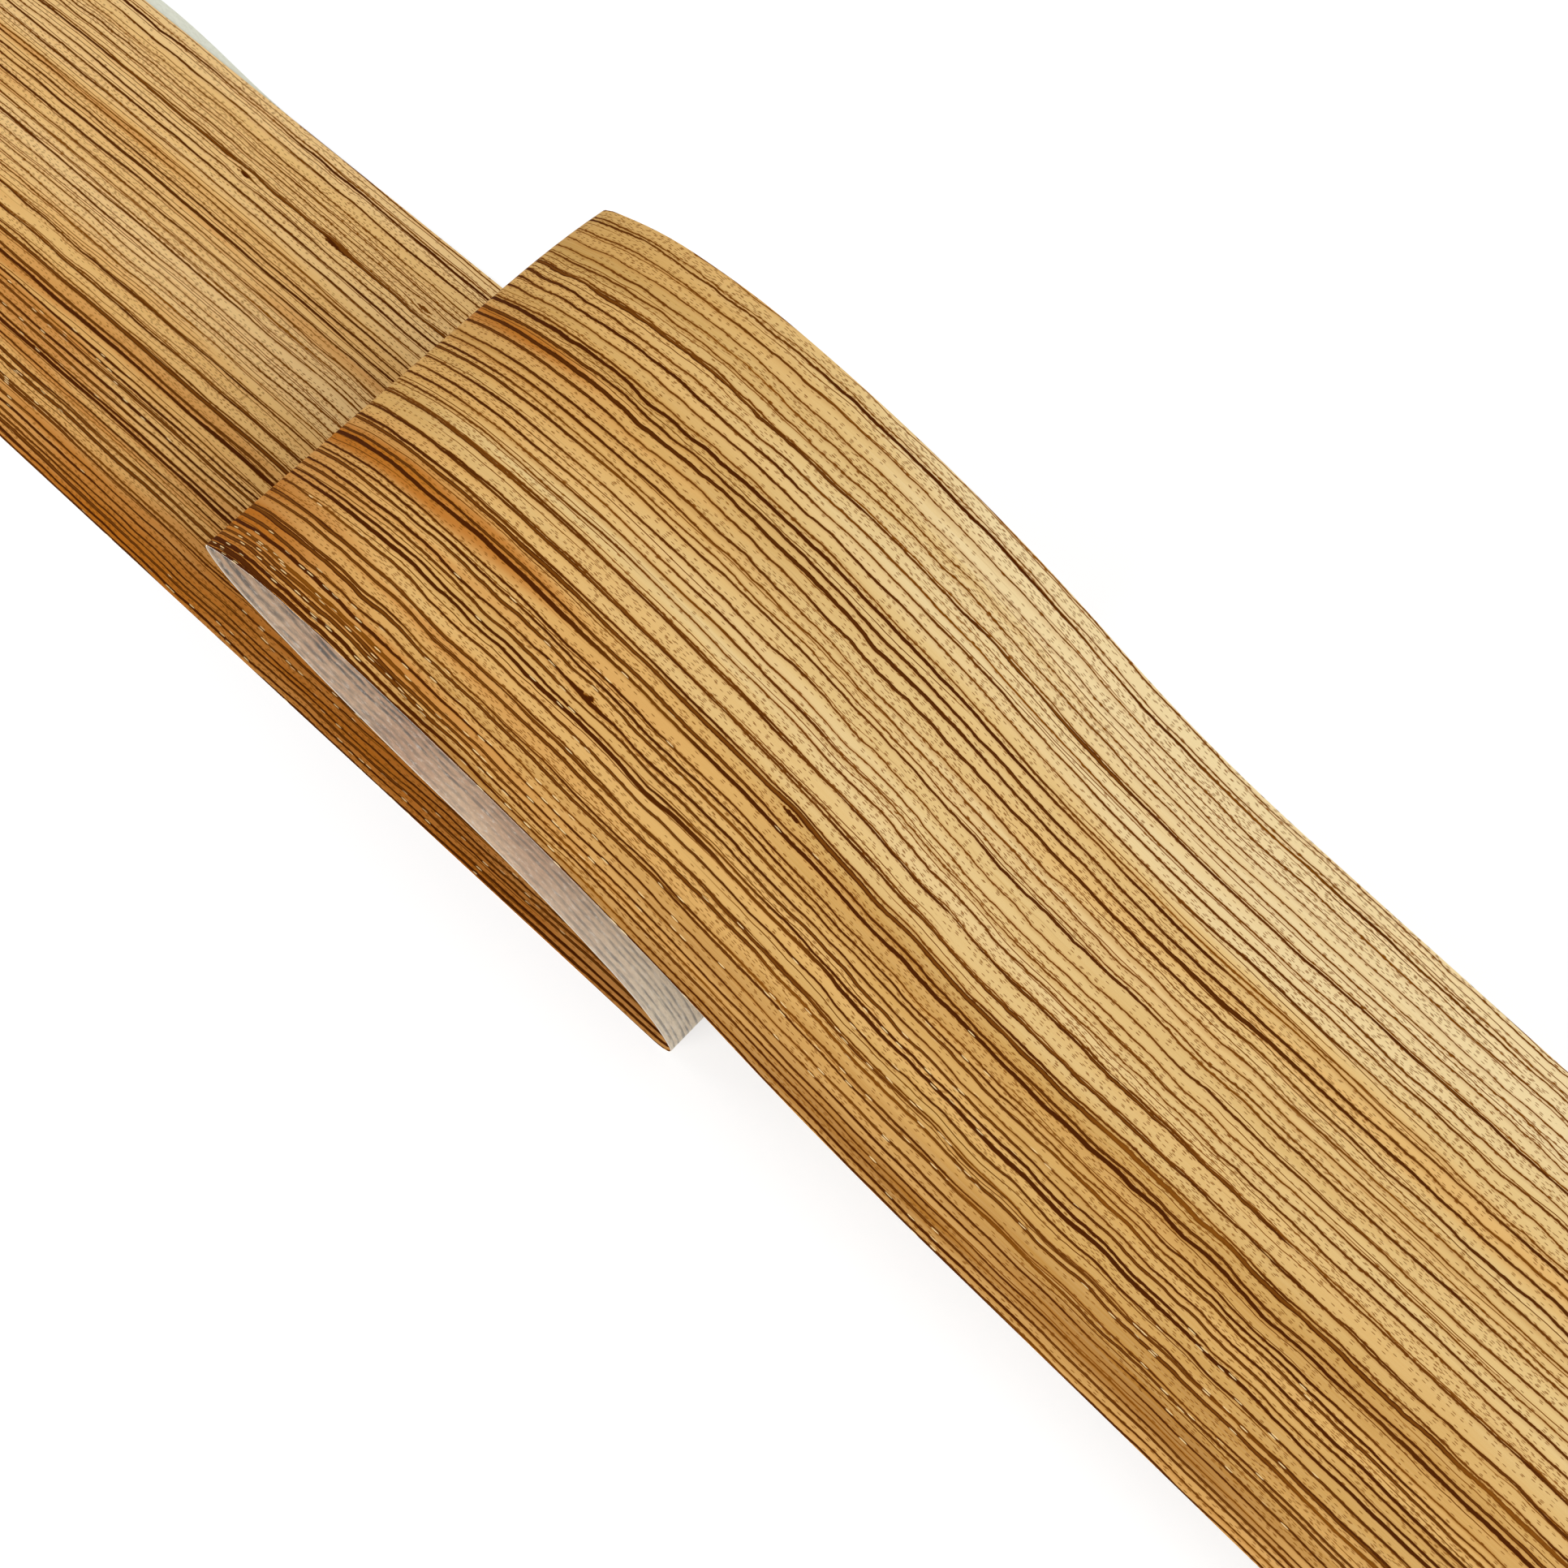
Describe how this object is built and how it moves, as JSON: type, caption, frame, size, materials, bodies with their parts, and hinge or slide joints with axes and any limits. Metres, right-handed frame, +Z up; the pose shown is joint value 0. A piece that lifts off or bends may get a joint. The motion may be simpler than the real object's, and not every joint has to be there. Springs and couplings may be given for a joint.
{
  "type": "wood veneer strip",
  "caption": "Long strip of striped wood veneer with a fleece backing, doubled over itself in a flat S so that both its face and its back show.",
  "frame": {"origin": "on the floor under the tip of the right fold, half way across the strip; both ends are equally far from it", "axes": "+X along the strip towards the end of its upper run, +Y across the strip, +Z up from the floor"},
  "size_m": [1.9954, 0.2, 0.1432],
  "materials": {
    "striped_wood": "raw sliced wood, fine dark stripes along the strip",
    "fleece": "matt pressed fibre, grain of the wood showing through faintly"
  },
  "bodies": {
    "root": {"veneer_leaf": "striped_wood", "fleece_backing": "fleece"}
  },
  "joints": []
}
